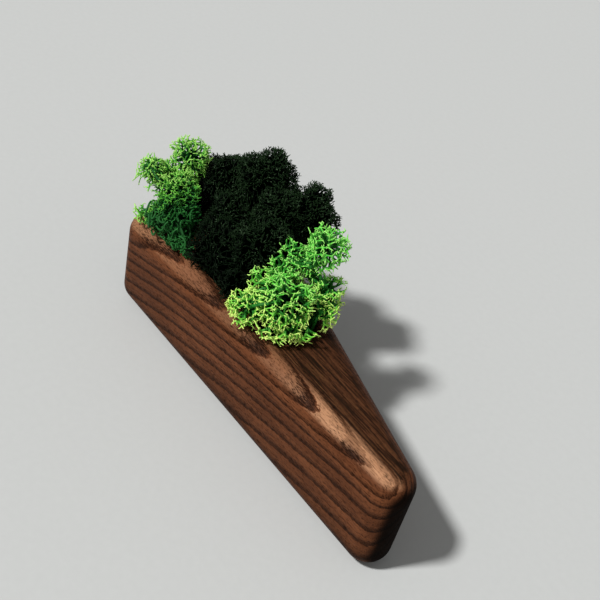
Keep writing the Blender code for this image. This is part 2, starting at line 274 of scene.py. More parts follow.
def even_directions(count, rng):
    """Directions spread evenly over a ball, turned at random."""
    steps = np.arange(count)
    z = 1 - 2 * (steps + 0.5) / count
    flat = np.sqrt(1 - z * z)
    turn = rng.uniform(0, math.tau) + math.pi * (3 - math.sqrt(5)) * steps
    return np.stack((flat * np.cos(turn), flat * np.sin(turn), z), axis=1)


around = even_directions(200, dice(1))
print("highest and lowest of 200 directions:", np.round((around[0, 2], around[-1, 2]), 3))

# %% Points of the egg
BELLY = 0.55
SMALL_HEAD, HIGH_RISE, HIGH_RISE_OF_SMALL = 0.0080, 2.5, 1.5
WAVES = unit(dice(8).normal(size=(6, 3))) * 6.0
WAVE_SHIFT = 900
LOBE_DEPTH, LEAST_LOBE, MOST_LOBE = 0.07, 0.80, 1.08


def drop_of(head):
    """How far a head reaches below its centre: to the rim, or as a ball where it stands high."""
    radius, rise = head[3], head[2]
    high = HIGH_RISE if radius > SMALL_HEAD else HIGH_RISE_OF_SMALL
    return radius if rise > high * radius else max(radius, rise)


def lobes(head, directions):
    """How far a head bulges in some directions: about 1, with shallow lobes."""
    shift = WAVE_SHIFT * (head[0] - head[1] + head[2]) * np.arange(1, 7)
    swell = np.sin(directions @ WAVES.T + shift).sum(axis=1)
    return np.clip(1.0 + LOBE_DEPTH * swell, LEAST_LOBE, MOST_LOBE)


def egg_points(head, directions, share):
    """The points of a head's egg in some directions, at a share of the way out to its surface."""
    radius = head[3]
    drop = drop_of(head)
    reach = directions * radius * np.reshape(share * lobes(head, directions), (-1, 1))
    low = (directions[:, 2] < 0) & (drop > radius)
    flat = np.maximum(np.hypot(directions[:, 0], directions[:, 1]), 0.001)
    reach[:, :2] *= np.where(low, flat ** (BELLY - 1), 1.0)[:, None]
    reach[:, 2] *= np.where(low, drop / radius, 1.0)
    return centre_of(head) + reach


egg = egg_points(first_head, around, 1.0)
print("first front head, height of its egg in mm:", np.round(np.ptp(egg[:, 2]) * 1000, 1))

# %% [markdown]
# ## Growing a head
# Reindeer moss forks in two again and again, and each fork turns away from the one before. So the
# sky round a head is shared out: some main branches each own a patch of it, and at every fork a
# patch is cut in two across its long side. The twigs end evenly spaced, and the forks come by
# themselves. Now and then a branch stops early, a tuft stays short or shoots out past the rest,
# and the last two forks open wider than the others. That leaves the dark gaps of real moss. Each
# kind of moss is a set of numbers: among others how often it forks, how far apart its tips end,
# how thick its stems and twigs are, and how much of it is hidden inside its neighbours.

# %% How each kind of moss grows
LIGHT = dict(forks=5, spacing=0.00150, length=0.00140, spread=1.60, wander=0.18, lift=0.06, stop=0.12,
             short=(0.92, 0.11), shoot=0.12, stem=0.00055, twig=0.00023, sides=4, prongs=0.70,
             hidden=0.66, ragged=0.0080)
LACE = dict(LIGHT, spacing=0.00158)
FERN = dict(LIGHT, spacing=0.00118, length=0.00125, wander=0.26, shoot=0.08, stem=0.00050,
            twig=0.00019, hidden=0.70, ragged=0.0)
DARK = dict(LIGHT, spacing=0.00110, length=0.00120, wander=0.30, stop=0.06, short=(0.97, 0.05),
            shoot=0.0, stem=0.00034, twig=0.00016, sides=3, prongs=0.15, hidden=0.70, ragged=0.0)
print("twigs across, in mm:", [round(2000 * growth["twig"], 2) for growth in (LIGHT, LACE, FERN, DARK)])

# %% Fork a set of branches once
UNEVEN_FORKS = (0.75, 1.25)
TWIST = 0.35


def fork(aim, along, wide, high, spread, wander, rng):
    """Cut every branch's patch of sky in two: new directions, long sides and sizes."""
    count = len(aim)
    across = np.cross(aim, along)
    signs = np.array((1.0, -1.0))[None, :, None]
    pull = spread * rng.uniform(*UNEVEN_FORKS, count)
    step = (wide / 4 * pull)[:, None, None] * signs * along[:, None, :]
    drift = (np.minimum(wide, high) * wander)[:, None, None]
    new_aim = unit(aim[:, None, :] + step + rng.normal(size=(count, 2, 3)) * drift).reshape(-1, 3)
    half = wide / 2
    longer = high > half
    turned = np.repeat(np.where(longer[:, None], across, along), 2, axis=0)
    wide, high = np.where(longer, high, half), np.where(longer, half, high)
    twist = rng.normal(size=(count * 2, 1)) * TWIST
    along = unit(turned * np.cos(twist) + np.cross(new_aim, turned) * np.sin(twist))
    return new_aim, along, np.repeat(wide, 2), np.repeat(high, 2)


one = np.ones(1)
east, up = np.array([[1.0, 0.0, 0.0]]), np.array([[0.0, 0.0, 1.0]])
forked = fork(up, east, one, one, LIGHT["spread"], 0.0, dice(1))[0]
print("one fork, open by degrees:", round(math.degrees(math.acos(forked[0] @ forked[1]))))

# %% Count a head's forks
FORKING_PART, EARLIEST_FORK = 0.75, 0.25
FEWEST_FORKS, FEWEST_MAINS = 2, 6


def levels_of(head, growth):
    """How often a head's branches fork, how many mains it starts with, and where they first fork."""
    radius = head[3]
    area = 2 * math.pi * radius * (radius + drop_of(head))
    tips = area / growth["spacing"] ** 2
    levels = int(np.clip(round(radius * FORKING_PART / growth["length"]), FEWEST_FORKS, growth["forks"]))
    first = max(EARLIEST_FORK, 1 - levels * growth["length"] / radius)
    return levels, max(FEWEST_MAINS, round(tips / 2**levels)), first


print("forks, mains and first fork of the first front head:", levels_of(first_head, LIGHT))

# %% Grow branches from mains
UNEVEN_MAINS, UNEVEN_LEVELS = (0.8, 1.12), 0.7
FORK_POWER, MAIN_START = 0.70, 0.08
SHORTEST, FURTHEST = 0.72, 1.03
SHOOTS = (1.04, 1.13)


def grow(place, start, aim, size, levels, first, growth, rng):
    """Branches as arrays, from mains that each own a patch of sky. `place` gives a share's points."""
    count = len(aim)
    along = unit(np.cross(aim, rng.normal(size=(count, 3))))
    wide = high = np.full(count, size)
    reach = np.ones(count)
    end = place(aim, first * rng.uniform(*UNEVEN_MAINS, count))
    number = np.arange(count)
    found = [dict(start=start, end=end, level=np.zeros(count, int),
                  parent=np.full(count, -1), tip=np.zeros(count, bool))]
    total = count
    for level in range(1, levels + 1):
        spread = growth["spread"] if level > levels - 2 else 1.0
        wander = growth["wander"] * (level / levels) ** 2
        aim, along, wide, high = fork(aim, along, wide, high, spread, wander, rng)
        start, parent, reach = (np.repeat(values, 2, axis=0) for values in (end, number, reach))
        if level == max(1, levels - 3):
            reach = np.clip(rng.normal(*growth["short"], len(aim)), SHORTEST, FURTHEST)
            shoots = rng.random(len(aim)) < growth["shoot"]
            reach = np.where(shoots, rng.uniform(*SHOOTS, len(aim)), reach)
        share = first + (1 - first) * (level / levels) ** FORK_POWER
        share = share + rng.uniform(-0.5, 0.5, len(aim)) * UNEVEN_LEVELS * (1 - first) / levels
        share = np.minimum(share, FURTHEST) * (1 + (reach - 1) * (level / levels) ** 2)
        raised = unit(aim + np.array((0, 0, growth["lift"])) * share[:, None] ** 2)
        end = place(raised, share)
        number = total + np.arange(len(aim))
        total += len(aim)
        stop = rng.random(len(aim)) < growth["stop"] * (level >= levels - 2)
        tip = stop | (level == levels)
        found.append(dict(start=start, end=end, level=np.full(len(aim), level), parent=parent, tip=tip))
        aim, along, wide, high, reach, end, number = (
            values[~tip] for values in (aim, along, wide, high, reach, end, number))
    joined = {key: np.concatenate([part[key] for part in found]) for key in found[0]}
    joined["levels"] = levels
    return joined


def grow_head(head, growth, rng):
    """The branches of a head, from near its middle outwards."""
    levels, mains, first = levels_of(head, growth)
    aim = even_directions(mains, rng)
    start = centre_of(head) + aim * head[3] * MAIN_START
    return grow(lambda way, share: egg_points(head, way, share), start, aim,
                math.sqrt(4 * math.pi / mains), levels, first, growth, rng)


trial = grow_head(first_head, LIGHT, dice(3))
print("first front head:", len(trial["level"]), "branches grown")

# %% Grow a loose spray
SPRAY_WIDTH, SPRAY_FORKS, SPRAY_FIRST_FORK = 1.25, 4, 0.30


def grow_spray(base, tip, growth, rng):
    """The branches of a loose spray, from one stem that forks towards a point."""
    base, tip = np.array(base), np.array(tip)
    reach = np.linalg.norm(tip - base)
    aim = unit(tip - base)[None, :]
    return grow(lambda way, share: base + way * share[:, None] * reach, base[None, :], aim,
                SPRAY_WIDTH, SPRAY_FORKS, SPRAY_FIRST_FORK, growth, rng)


spray = grow_spray(*SPRAYS["light_moss_front"][0], LIGHT, dice(3))
print("first front spray:", len(spray["level"]), "branches grown")

# %% Keep the twigs in the open air
RIM_GAP = 0.0003
RAGGED_WAVES = 230
HIDDEN_IN_OTHERS = 0.88


def missing(end, ragged):
    """True for twigs that are missing along the ragged lower edge, a few millimetres at a time."""
    pattern = np.sin(end @ WAVES.T * RAGGED_WAVES).sum(axis=1)
    return (end[:, 2] < BLOCK_TOP + ragged) & (pattern > 0.0)


def prune(branches, same, other, hidden, ragged=0.0):
    """True for each branch that still carries a twig in the open air."""
    end = branches["end"]
    keep = branches["tip"] & (end[:, 2] > BLOCK_TOP + RIM_GAP) & ~missing(end, ragged)
    for head, share in [(head, hidden) for head in same] + [(head, HIDDEN_IN_OTHERS) for head in other]:
        keep &= np.linalg.norm(end - centre_of(head), axis=1) > share * head[3]
    for level in range(branches["levels"], 0, -1):
        here = keep & (branches["level"] == level)
        keep[branches["parent"][here]] = True
    return keep


kept = prune(trial, HEADS["light_moss_front"][1:], (), LIGHT["hidden"], LIGHT["ragged"])
print("first front head:", int(kept.sum()), "branches kept")

# %% [markdown]
# ## From branches to tubes
# Each branch is a thin tube that leaves its fork in the direction of the stem below and then
# bends to its own end, as a living fork does. All the tubes of a head are made in one go: two
# short lengths each, thinner towards the tip, and a point that closes the end. Short prongs beside
# the outer branches make the small stars in which reindeer moss ends.

# %% Tubes round many branches at once
BEND, BOW = 0.42, 0.22
OVERLAP, POINT_LENGTH = 0.5, 1.1
STEEP = 0.8


def halved(quads):
    """Each four-cornered face as two triangles."""
    return [half for a, b, c, d in quads for half in ((a, b, c), (a, c, d))]


def tubes(start, end, lead, thick, thin, sides, grown_from, grown_to):
    """Bent, tapering tubes with closed tips: their corners, triangles, and how far up each corner is."""
    count = len(start)
    length = np.linalg.norm(end - start, axis=1, keepdims=True)
    run = unit(end - start)
    lead = unit(run + BEND * lead)
    middle = (start + end) / 2 + (lead - run) * length * BOW
    start = start - run * thick[:, None] * OVERLAP
    headings = np.stack((lead, run, unit(2 * run - lead)), axis=1)
    centres = np.stack((start, middle, end), axis=1)
    radii = np.stack((thick, (thick + thin) / 2, thin), axis=1)
    grown = np.stack((grown_from, (grown_from + grown_to) / 2, grown_to), axis=1)
    guide = np.where(np.abs(run[:, 2:3]) < STEEP, np.array((0.0, 0.0, 1.0)), np.array((1.0, 0.0, 0.0)))
    across = unit(np.cross(headings, guide[:, None, :]))
    beside = np.cross(headings, across)
    turn = math.tau * np.arange(sides) / sides
    ring = (across[:, :, None, :] * np.cos(turn)[None, None, :, None]
            + beside[:, :, None, :] * np.sin(turn)[None, None, :, None])
    corners = centres[:, :, None, :] + ring * radii[:, :, None, None]
    apex = end + headings[:, 2] * thin[:, None] * POINT_LENGTH
    points = np.concatenate((corners.reshape(count, -1, 3), apex[:, None, :]), axis=1)
    level = np.concatenate((np.repeat(grown, sides, axis=1), grown_to[:, None]), axis=1)
    first = halved(ring_faces(2, sides))
    first += [(2 * sides + k, 2 * sides + (k + 1) % sides, 3 * sides) for k in range(sides)]
    triangles = np.array(first)[None, :, :] + (np.arange(count) * (3 * sides + 1))[:, None, None]
    return points.reshape(-1, 3), triangles.reshape(-1, 3), level.reshape(-1)


trial_tube = tubes(0 * up, up, up, one, one, LIGHT["sides"], one, one)
print("triangles of a tube:", len(trial_tube[1]))

# %% Tubes of a head
WIDTHS = (0.85, 1.15)
WIDTH_AT_FORK, WIDTH_AT_TIP = 0.92, 0.75
PRONG_FEET, PRONG_LENGTHS, PRONG_LEAN = (0.4, 0.8), (0.45, 0.75), 1.8
PRONG_WIDTH, PRONG_WIDTH_AT_TIP = 0.9, 0.7


def heading_below(branches):
    """The heading of the branch that each branch grows from."""
    run = unit(branches["end"] - branches["start"])
    parent = branches["parent"]
    return np.where(parent[:, None] < 0, run, run[np.maximum(parent, 0)])


def tubes_of_head(branches, keep, growth, rng, pale=0.0):
    """The tubes of one head: its branches, and short prongs beside the outer ones."""
    levels = branches["levels"]
    level = branches["level"][keep]
    above = level / levels
    below = np.maximum(level - 1, 0) / levels
    stem, twig = growth["stem"], growth["twig"]
    width = rng.uniform(*WIDTHS, len(level))
    thick = stem * (twig / stem) ** below * WIDTH_AT_FORK * width
    thin = stem * (twig / stem) ** above * width
    thin = np.where(branches["tip"][keep], thin * WIDTH_AT_TIP, thin)
    start, end = branches["start"][keep], branches["end"][keep]
    lead = heading_below(branches)[keep]
    below, above = pale + (1 - pale) * below, pale + (1 - pale) * above
    made = [tubes(start, end, lead, thick, thin, growth["sides"], below, above)]
    outer = (level >= levels - 1) & (rng.random(len(level)) < growth["prongs"])
    run = unit(end - start)[outer]
    out = unit(np.cross(run, rng.normal(size=run.shape)))
    foot = start[outer] + (end - start)[outer] * rng.uniform(*PRONG_FEET, (len(run), 1))
    lean = unit(run + PRONG_LEAN * out)
    tip = foot + lean * growth["spacing"] * rng.uniform(*PRONG_LENGTHS, (len(run), 1))
    free = tip[:, 2] > BLOCK_TOP + RIM_GAP
    foot, tip, run = foot[free], tip[free], run[free]
    slim = np.full(len(foot), twig * PRONG_WIDTH)
    made.append(tubes(foot, tip, run, slim, slim * PRONG_WIDTH_AT_TIP, growth["sides"],
                      above[outer][free], np.ones(len(foot))))
    return made


trial_tubes = tubes_of_head(trial, kept, LIGHT, dice(4))
print("first front head:", sum(len(made[1]) for made in trial_tubes), "triangles")

# %% [markdown]
# ## Stems and the dark middle
# Under its crown a bunch is a bundle of thicker stems that run down into the pocket. They join
# the first head to the pocket's floor, and every other head to the nearest one before it. Under
# the rim they are moved inwards until they clear the pocket's walls. In the middle of each head
# sits a dark lump of painted shade, which stands for the packed stems that no light reaches, and
# which costs a few hundred faces instead of thousands. Low on the left bunch the real moss is bare
# and curled, so loose curls of stem are laid over its side there.

# %% Keep stems in the pocket
LIP_HEIGHT, PASSES = 0.0020, 4


def keep_in_pocket(points, gap):
    """Points below the rim, moved inwards until they clear the pocket's walls by a gap."""
    moved = np.array(points)
    low = moved[:, 2] < BLOCK_TOP + LIP_HEIGHT
    for _ in range(PASSES):
        for corner, normal in zip(pocket, side_normals(pocket)):
            way = np.array(normal)
            over = (moved[:, :2] - np.array(corner)) @ way + gap
            moved[:, :2] -= np.where(low & (over > 0), over, 0.0)[:, None] * way
    return moved


stray = keep_in_pocket([(0.0, -0.030, 0.030)], 0.0)
print("a stray point, moved in to mm:", np.round(stray[0] * 1000, 1))

# %% Stems
STEM_BASE = pocket_floor + RIM_GAP
STEM_START = STEM_BASE + 0.001
STEMS_PER_HEAD, STEM_PARTS = 9, 5
STEM_WIDTH, STEM_TONES = 1.15, (0.2, 0.35)
STEM_GAP, FIRST_STEM_GAP = 0.0008, 0.004
END_SCATTER, SWAY = 1.4, 1.8
SPREAD_PER_LENGTH, LEAST_SPREAD, MOST_SPREAD = 0.10, 0.0006, 0.0018


def chain(joints, radius, sides, tones):
    """Tubes along many stems at once, from one array of points per joint."""
    start, end = np.concatenate(joints[:-1]), np.concatenate(joints[1:])
    thick, low, high = (np.full(len(start), value) for value in (radius, *tones))
    return tubes(start, end, unit(end - start), thick, thick, sides, low, high)


def stems_between(low, high, rng):
    """The joints of some bent stems between two points."""
    spread = min(np.linalg.norm(high - low) * SPREAD_PER_LENGTH + LEAST_SPREAD, MOST_SPREAD)
    ends_low = low + rng.uniform(-END_SCATTER, END_SCATTER, (STEMS_PER_HEAD, 3)) * spread
    ends_high = high + rng.uniform(-END_SCATTER, END_SCATTER, (STEMS_PER_HEAD, 3)) * spread
    sway = rng.uniform(-SWAY, SWAY, (STEMS_PER_HEAD, 3)) * spread
    joints = []
    for step in range(STEM_PARTS + 1):
        share = step / STEM_PARTS
        joints.append(ends_low * (1 - share) + ends_high * share + sway * math.sin(math.pi * share))
    return joints


def stem_tubes(heads, growth, rng):
    """The stems of a bunch, from the pocket's floor to every head."""
    made = []
    for index, head in enumerate(heads):
        high = centre_of(head)
        if index == 0:
            low = keep_in_pocket([(head[0], head[1], STEM_START)], FIRST_STEM_GAP)[0]
        else:
            low = min(map(centre_of, heads[:index]), key=lambda other: np.linalg.norm(other - high))
        joints = [keep_in_pocket(joint, STEM_GAP) for joint in stems_between(low, high, rng)]
        made.append(chain(joints, growth["stem"] * STEM_WIDTH, growth["sides"], STEM_TONES))
    return made


trial_stems = stem_tubes(HEADS["light_moss_front"], LIGHT, dice(2))
print("stems of the front bunch:", sum(len(made[1]) for made in trial_stems), "triangles")

# %% Bare curls
CURL_PARTS, CURL_SIDES = 7, 5
CURL_PLACES, CURL_RADII, CURL_ARCS = (0.88, 1.02), (0.0010, 0.0030), (2.0, 3.6)
CURLS_BELOW, CURL_BULGE, CURL_GAP = 0.5, 0.0006, 0.0006
CURL_WIDTH, CURL_TONES = 0.75, (0.55, 0.55)


def curls(head, count, growth, rng):
    """Bare, curled stems that lie over the sides of a head."""
    aim = even_directions(2 * count, rng)
    aim = aim[aim[:, 2] < CURLS_BELOW]
    centre = egg_points(head, aim, rng.uniform(*CURL_PLACES, len(aim)))
    across = unit(np.cross(aim, rng.normal(size=aim.shape)))
    beside = np.cross(aim, across)
    radius = rng.uniform(*CURL_RADII, (len(aim), 1))
    first = rng.uniform(0, math.tau, (len(aim), 1))
    arc = rng.uniform(*CURL_ARCS, (len(aim), 1))
    joints = []
    for step in range(CURL_PARTS + 1):
        turn = first + arc * step / CURL_PARTS
        bulge = CURL_BULGE * math.sin(math.pi * step / CURL_PARTS)
        joint = centre + radius * (np.cos(turn) * across + np.sin(turn) * beside) + aim * bulge
        joint[:, 2] = np.maximum(joint[:, 2], BLOCK_TOP + CURL_GAP)
        joints.append(joint)
    return chain(joints, growth["stem"] * CURL_WIDTH, CURL_SIDES, CURL_TONES)


trial_curls = curls(HEADS["light_moss_left"][0], 34, FERN, dice(2))
print("curls of the first left head:", len(trial_curls[1]), "triangles")

# %% The dark middle of a head
KNOBS = 0.10
ball = bmesh.new()
bmesh.ops.create_icosphere(ball, subdivisions=3, radius=1.0)
ball.verts.index_update()
ball_aim = unit(np.array([vertex.co for vertex in ball.verts]))
ball_triangles = np.array([[vertex.index for vertex in face.verts] for face in ball.faces])
ball.free()


def lump(head, share, rng):
    """A closed, knobbly egg: the dark middle of a head, painted as shade."""
    knobs = 1 + KNOBS * rng.normal(size=len(ball_aim))
    points = egg_points(head, ball_aim, share * knobs)
    points[:, 2] = np.maximum(points[:, 2], BLOCK_TOP + RIM_GAP)
    return points, ball_triangles, np.full(len(points), -1.0)


print("lump of a head:", len(ball_triangles), "triangles")

# %% The foot of a bunch
FOOT_SIDES, FOOT_ROWS = 16, 4
FOOT_SHARE, UNEVEN_FOOT = 0.45, (0.9, 1.05)


def foot_of(head, rng):
    """The part of a bunch that stands in the pocket: a rough column down to the floor, in painted shade.
    """
    turn = math.tau * np.arange(FOOT_SIDES) / FOOT_SIDES
    points = []
    for row in range(FOOT_ROWS + 1):
        z = STEM_BASE + (BLOCK_TOP + head[2] - STEM_BASE) * row / FOOT_ROWS
        radius = head[3] * FOOT_SHARE * rng.uniform(*UNEVEN_FOOT, FOOT_SIDES)
        points.append(np.stack((head[0] + radius * np.cos(turn), head[1] + radius * np.sin(turn),
                                np.full(FOOT_SIDES, z)), axis=1))
    points = keep_in_pocket(np.concatenate(points), RIM_GAP)
    return points, np.array(halved(ring_faces(FOOT_ROWS, FOOT_SIDES))), np.full(len(points), -1.0)


print("foot of a bunch:", len(foot_of(first_head, dice(2))[1]), "triangles")

# %% [markdown]
# ## Building the bunches
# Every bunch becomes one mesh, and the largest becomes three, cut after its second and its fourth
# head. Each corner also keeps how far up its twig it is, from 0 at the root to 1 at the tip, as an
# attribute that the moss's material reads. The finer bunch then stands for the plain one. The
# sprays get stouter and paler stems than the heads, because they lie in the open light.

# %% One mesh from many parts
SLOTS = {"light_moss_left": "green_moss", "dark_moss_left": "dark_moss", "dark_moss_middle": "dark_moss",
         "light_moss_front": "light_moss", "light_moss_right": "light_moss"}


def mesh_of(name, parts):
    """One mesh from many parts, each of points, triangles and growth, which is -1 in the dark."""
    starts = np.cumsum([0] + [len(part[0]) for part in parts[:-1]])
    points = np.concatenate([part[0] for part in parts])
    triangles = np.concatenate([part[1] + start for part, start in zip(parts, starts)])
    grown = np.concatenate([part[2] for part in parts])
    inside = np.concatenate([np.full(len(part[1]), part[2][0] < 0) for part in parts])
    mesh = bpy.data.meshes.new(name)
    mesh.from_pydata(points, [], triangles)
    mesh.validate()
    mesh.shade_smooth()
    mesh.attributes.new("grown", "FLOAT", "POINT").data.foreach_set("value", grown.astype(np.float32))
    mesh.polygons.foreach_set("material_index", inside.astype(np.int32))
    return mesh


def add_piece(name, bunch, parts):
    """Put a piece of fine moss in the scene, in the place of the plain bunch."""
    made = add_object(name, mesh_of(name, parts))
    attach(made, "root")
    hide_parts(bunch)
    return made


print("finishes needed:", sorted(set(SLOTS.values())))

# %% Build the bunches
STOUT_STEM, SPRAY_PALENESS = 0.00062, 0.38
BUNCHES = {
    "light_moss_left": dict(seed=100, growth=FERN, lump_share=0.34, curled=((0, 34), (4, 8))),
    "dark_moss_left": dict(seed=101, growth=DARK, lump_share=0.70),
    "dark_moss_middle": dict(seed=102, growth=DARK, lump_share=0.70, cuts=(1, 3)),
    "light_moss_front": dict(seed=123, growth=LIGHT, lump_share=0.28),
    "light_moss_right": dict(seed=124, growth=LACE, lump_share=0.20),
}


def build_bunch(bunch, seed, growth, lump_share, curled=(), cuts=()):
    """One bunch of fine moss, as one piece, or as more where it is cut after some heads."""
    rng = dice(seed)
    heads = HEADS[bunch]
    pieces = []
    parts = stem_tubes(heads, growth, rng) + [foot_of(heads[0], rng)]
    for base, tip in SPRAYS.get(bunch, ()):
        branches = grow_spray(base, tip, growth, rng)
        keep = prune(branches, heads, all_heads_but(bunch), growth["hidden"])
        parts += tubes_of_head(branches, keep, dict(growth, stem=STOUT_STEM), rng, SPRAY_PALENESS)
    parts += [curls(heads[index], count, growth, rng) for index, count in curled]
    for index, head in enumerate(heads):
        same = [other for other in heads if other != head]
        branches = grow_head(head, growth, rng)
        keep = prune(branches, same, all_heads_but(bunch), growth["hidden"], growth["ragged"])
        parts += tubes_of_head(branches, keep, growth, rng)
        parts.append(lump(head, lump_share, rng))
        if index in (*cuts, len(heads) - 1):
            pieces.append(add_piece(f"fine_{bunch}_{len(pieces) + 1}", bunch, parts))
            parts = []
    return pieces


bunches = {name: build_bunch(name, **kind) for name, kind in BUNCHES.items()}
for name, pieces in bunches.items():
    print(name, [len(made.data.polygons) for made in pieces], "triangles")

# %% [markdown]
# ## A small language for materials
# A material is a graph of nodes. Written node by node it is long and hard to read, so a socket is
# wrapped in a class that turns + - and * into Math nodes. One method makes any other node from its
# type, its settings and the values or links of its sockets.

# %% Sockets as numbers
class Wire:
    """A node's output that can be worked with as a number."""

    def __init__(self, finish, socket):
        self.finish = finish
        self.socket = socket

    def maths(self, operation, *values):
        """Add a Math node for an operation on some values."""
        inputs = dict(enumerate(values))
        return self.finish.node("ShaderNodeMath", {"operation": operation}, inputs)

    def __add__(self, other):
        return self.maths("ADD", self, other)

    def __radd__(self, other):
        return self.maths("ADD", other, self)

    def __sub__(self, other):
        return self.maths("SUBTRACT", self, other)

    def __rsub__(self, other):
        return self.maths("SUBTRACT", other, self)

    def __mul__(self, other):
        return self.maths("MULTIPLY", self, other)

    def __rmul__(self, other):
        return self.maths("MULTIPLY", other, self)

    def fraction(self):
        """What is left after the whole number."""
        return self.maths("FRACT", self)

    def least(self, other):
        """The smaller of two values."""
        return self.maths("MINIMUM", self, other)

    def most(self, other):
        """The larger of two values."""
        return self.maths("MAXIMUM", self, other)

    def root(self):
        """The square root."""
        return self.maths("SQRT", self)


print("a wire has:", [name for name in vars(Wire) if not name.startswith("_")])

# %% A material and its nodes
class Finish:
    """One material, with a method for every node that it needs."""

    def __init__(self, name):
        self.material = bpy.data.materials.new(name)
        self.material.use_nodes = True
        self.tree = self.material.node_tree
        self.shader = self.tree.nodes["Principled BSDF"]

    def node(self, kind, settings, values, out=0):
        """Make a node: its settings first, then the values or links of its sockets."""
        made = self.tree.nodes.new(kind)
        for name, setting in settings.items():
            if name == "stops":
                self.set_stops(made.color_ramp, setting)
            else:
                setattr(made, name, setting)
        for name, value in values.items():
            self.plug(value, made.inputs[name])
        return Wire(self, made.outputs[out])

    def set_stops(self, ramp, stops):
        """Give a colour ramp its stops."""
        while len(ramp.elements) > 1:
            ramp.elements.remove(ramp.elements[-1])
        ramp.elements[0].position = stops[0][0]
        ramp.elements[0].color = (*stops[0][1], 1.0)
        for position, colour in stops[1:]:
            ramp.elements.new(position).color = (*colour, 1.0)

    def plug(self, value, socket):
        """Link a wire to a socket, or set the socket's own value."""
        if isinstance(value, Wire):
            self.tree.links.new(value.socket, socket)
        elif socket.type == "RGBA":
            socket.default_value = (*value, 1.0)
        else:
            socket.default_value = value

    def set(self, **values):
        """Plug values into the shader by the names of its sockets, with _ for a space."""
        for name, value in values.items():
            self.plug(value, self.shader.inputs[name.replace("_", " ")])

    def place(self):
        """The point on the object, in millimetres."""
        coordinates = self.node("ShaderNodeTexCoord", {}, {}, out="Object")
        return self.node("ShaderNodeVectorMath", {"operation": "SCALE"}, {0: coordinates, "Scale": 1000.0})

    def split(self, vector):
        """A vector's three numbers."""
        first = self.node("ShaderNodeSeparateXYZ", {}, {0: vector})
        return [Wire(self, socket) for socket in first.socket.node.outputs]

    def noise(self, vector, scale, detail=2.0, roughness=0.5):
        """Soft noise from 0 to 1. Its scale is one number, or one for each way."""
        if isinstance(scale, tuple):
            vector = self.node("ShaderNodeVectorMath", {"operation": "MULTIPLY"}, {0: vector, 1: scale})
            scale = 1.0
        return self.node("ShaderNodeTexNoise", {}, {"Vector": vector, "Scale": scale, "Detail": detail,
                                                    "Roughness": roughness})

    def step(self, value, low, high, to_low=0.0, to_high=1.0):
        """A soft step from one value to another."""
        values = {"Value": value, "From Min": low, "From Max": high, "To Min": to_low, "To Max": to_high}
        return self.node("ShaderNodeMapRange", {"interpolation_type": "SMOOTHSTEP"}, values)

    def mix(self, share, below, above):
        """A colour between two, by a share."""
        return self.node("ShaderNodeMix", {"data_type": "RGBA"}, {0: share, 6: below, 7: above}, out=2)

    def ramp(self, value, places, colours):
        """A colour from a ramp that has these colours at these places."""
        return self.node("ShaderNodeValToRGB", {"stops": list(zip(places, colours))}, {0: value})

    def bump(self, height, distance):
        """A relief of a height in millimetres."""
        return self.node("ShaderNodeBump", {}, {"Height": height, "Distance": distance * 0.001})


print("a finish has:", [name for name in vars(Finish) if not name.startswith("_")])

# %% [markdown]
# ## Oiled wood
# The block is open-grained, heat-darkened and oiled. Its growth rings cross the front as dark
# combs of pores that rise slowly to the right. Over the rounded front edge each ring ends in a
# long pointed tongue with paler wood round it, and further right a pale strip runs along the edge
# to the tip. Both the paler wood and the strip also carry a painted highlight where the edge faces
# the light. On the top the rings lie close together under fine dark streaks. The figure comes
# from one number that grows from ring to ring through the solid, so the figure on every side
# belongs to the same piece of wood. The ends, where the grain is cut across, soak up oil and are
# painted nearly black: darker end grain with painted shade over it.

# %% Growth rings
def growth_rings(wood, place, x, z, inward):
    """A number that grows by one from each ring of the tree to the next, at any point in the block."""
    # Over the front it grows upwards and falls to the right, so the rings rise to the right.
    front = z * 0.117 + z * z * 0.00166 - x * 0.0377 - x * z * 0.00038 + x * x * 0.00016
    # Further in it falls, so each ring turns back in a tongue. A shift at the edge places them.
    tongues = (x * 0.0150 - x * x * 0.00017 + 0.34) * wood.step(z, 30.0, 38.0)
    curve = (inward * inward + 92.2).root() - 9.6
    # Slow noise bends the rings, and finer noise frays them.
    slow = wood.noise(place, (0.012, 0.05, 0.05))
    comb = wood.noise(place, (0.42, 0.9, 0.9), 3.0, 0.65)
    return front + tongues - curve * 0.45 + (slow - 0.5) * 0.7 + (comb - 0.5) * 0.36 - 7.39


FRONT_Y = round(corners[0].y * 1000, 1)
print("front face, in mm from the middle:", FRONT_Y)

# %% Wood tones
# The fibres change between the two tones of a pair.
WOOD_TONES = (0.0470, 0.0150, 0.0062), (0.236, 0.0830, 0.0340)
# The pale tones over the front edge are partly paler wood and partly painted highlight.
TAN_AND_HIGHLIGHT_TONES = (0.234, 0.0975, 0.0429), (0.640, 0.343, 0.187)
CLOUD_TONE = (0.0507, 0.0156, 0.0062)
LOW_TONE = (0.0172, 0.0070, 0.0031)
TOP_TONE = (0.0281, 0.0133, 0.0070)
TOP_BROWN = (0.0936, 0.0406, 0.0164)
TOP_STREAK = (0.0094, 0.0055, 0.0031)
PORE_TONE = (0.0133, 0.0047, 0.0020)
# The ends' tone is darker end grain, darkened further as painted shade.
END_GRAIN_AND_SHADE_TONE = (0.0030, 0.0017, 0.0010)
print("palest red of the wood and of the pale strip:", WOOD_TONES[1][0], TAN_AND_HIGHLIGHT_TONES[1][0])

